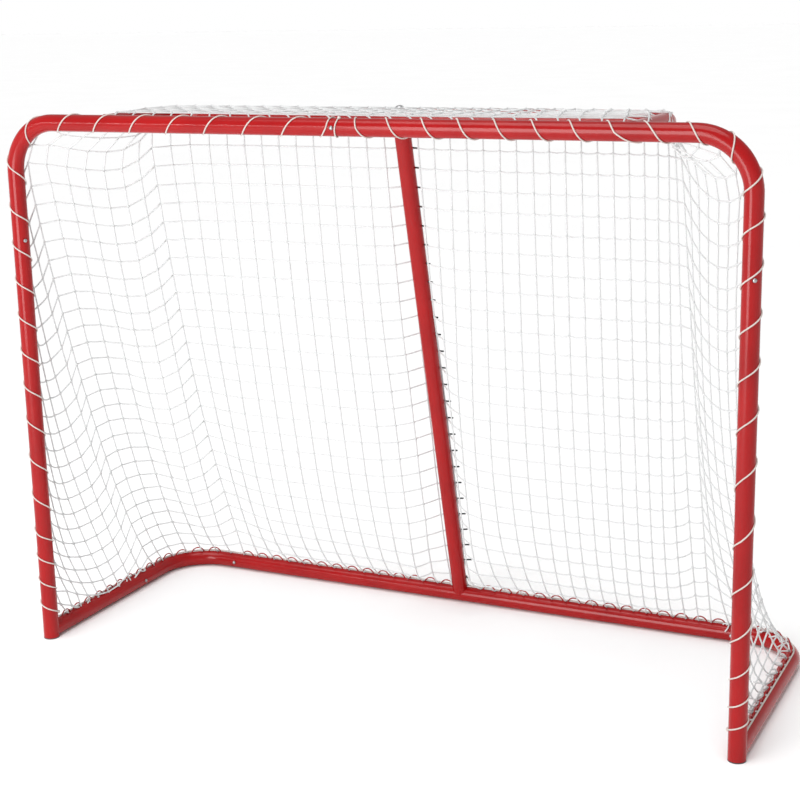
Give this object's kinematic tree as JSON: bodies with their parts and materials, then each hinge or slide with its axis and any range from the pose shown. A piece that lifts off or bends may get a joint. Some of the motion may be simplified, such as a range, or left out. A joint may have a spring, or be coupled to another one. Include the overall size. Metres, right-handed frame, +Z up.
{
  "type": "hockey goal",
  "caption": "Take-apart hockey goal: round steel tube frame with bent corners, a top shelf bar, a leaning centre support and a laced square-mesh net.",
  "frame": {"origin": "on the floor, under the centre of the whole goal's bounding box", "axes": "+Z up, the open mouth faces -Y, the net is towards +Y, +X along the crossbar"},
  "size_m": [1.3761, 0.5182, 1.0047],
  "materials": {
    "red_paint": "glossy red powder coat on steel tube",
    "black_plastic": "moulded black plastic",
    "zinc_steel": "zinc plated steel",
    "net_twine": "knotted white polyester twine",
    "lacing_twine": "twisted white polyester cord"
  },
  "bodies": {
    "frame": {"crossbar_left": "red_paint", "crossbar_right": "red_paint", "post_left": "red_paint", "post_right": "red_paint", "side_rail_left": "red_paint", "side_rail_right": "red_paint", "base_corner_left": "red_paint", "base_corner_right": "red_paint", "rear_rail_left": "red_paint", "rear_rail_right": "red_paint", "shelf_bar": "red_paint", "shelf_stub_left": "red_paint", "shelf_stub_right": "red_paint", "center_support": "red_paint", "support_peg": "red_paint", "net_hooks_left": "red_paint", "net_hooks_right": "red_paint", "foot_cap_left": "black_plastic", "foot_cap_right": "black_plastic", "support_plug": "zinc_steel", "support_bolt": "zinc_steel", "net_top": "net_twine", "net_back": "net_twine", "net_left": "net_twine", "net_right": "net_twine", "hem_rope": "lacing_twine", "lacing_left": "lacing_twine", "lacing_right": "lacing_twine"},
    "snap_crossbar": {"button_crossbar": "zinc_steel", "leaf_crossbar": "zinc_steel"},
    "snap_post_left": {"button_post_left": "zinc_steel", "leaf_post_left": "zinc_steel"},
    "snap_post_right": {"button_post_right": "zinc_steel", "leaf_post_right": "zinc_steel"},
    "snap_side_left": {"button_side_left": "zinc_steel", "leaf_side_left": "zinc_steel"},
    "snap_side_right": {"button_side_right": "zinc_steel", "leaf_side_right": "zinc_steel"},
    "snap_corner_left": {"button_corner_left": "zinc_steel", "leaf_corner_left": "zinc_steel"},
    "snap_corner_right": {"button_corner_right": "zinc_steel", "leaf_corner_right": "zinc_steel"},
    "snap_rear": {"button_rear": "zinc_steel", "leaf_rear": "zinc_steel"},
    "snap_shelf_left": {"button_shelf_left": "zinc_steel", "leaf_shelf_left": "zinc_steel"},
    "snap_shelf_right": {"button_shelf_right": "zinc_steel", "leaf_shelf_right": "zinc_steel"},
    "snap_support": {"button_support": "zinc_steel", "leaf_support": "zinc_steel"}
  },
  "joints": [
    {"name": "press_crossbar", "type": "slide", "parent": "frame", "child": "snap_crossbar", "axis": [0, -1, 0], "range_m": [-0.0048, 0], "stiffness_N_per_m": 600, "springref_m": 0.004},
    {"name": "press_post_left", "type": "slide", "parent": "frame", "child": "snap_post_left", "axis": [0.9063, -0.4226, 0], "range_m": [-0.0048, 0], "stiffness_N_per_m": 600, "springref_m": 0.004},
    {"name": "press_post_right", "type": "slide", "parent": "frame", "child": "snap_post_right", "axis": [0.5, -0.866, 0], "range_m": [-0.0048, 0], "stiffness_N_per_m": 600, "springref_m": 0.004},
    {"name": "press_side_left", "type": "slide", "parent": "frame", "child": "snap_side_left", "axis": [1, 0, 0], "range_m": [-0.0048, 0], "stiffness_N_per_m": 600, "springref_m": 0.004},
    {"name": "press_side_right", "type": "slide", "parent": "frame", "child": "snap_side_right", "axis": [-1, 0, 0], "range_m": [-0.0048, 0], "stiffness_N_per_m": 600, "springref_m": 0.004},
    {"name": "press_corner_left", "type": "slide", "parent": "frame", "child": "snap_corner_left", "axis": [0, -1, 0], "range_m": [-0.0048, 0], "stiffness_N_per_m": 600, "springref_m": 0.004},
    {"name": "press_corner_right", "type": "slide", "parent": "frame", "child": "snap_corner_right", "axis": [0, -1, 0], "range_m": [-0.0048, 0], "stiffness_N_per_m": 600, "springref_m": 0.004},
    {"name": "press_rear", "type": "slide", "parent": "frame", "child": "snap_rear", "axis": [0, 1, 0], "range_m": [-0.0048, 0], "stiffness_N_per_m": 600, "springref_m": 0.004},
    {"name": "press_shelf_left", "type": "slide", "parent": "frame", "child": "snap_shelf_left", "axis": [0, 0, -1], "range_m": [-0.0048, 0], "stiffness_N_per_m": 600, "springref_m": 0.004},
    {"name": "press_shelf_right", "type": "slide", "parent": "frame", "child": "snap_shelf_right", "axis": [0, 0, -1], "range_m": [-0.0048, 0], "stiffness_N_per_m": 600, "springref_m": 0.004},
    {"name": "press_support", "type": "slide", "parent": "frame", "child": "snap_support", "axis": [0, 0.9714, 0.2373], "range_m": [-0.0048, 0], "stiffness_N_per_m": 600, "springref_m": 0.004}
  ]
}
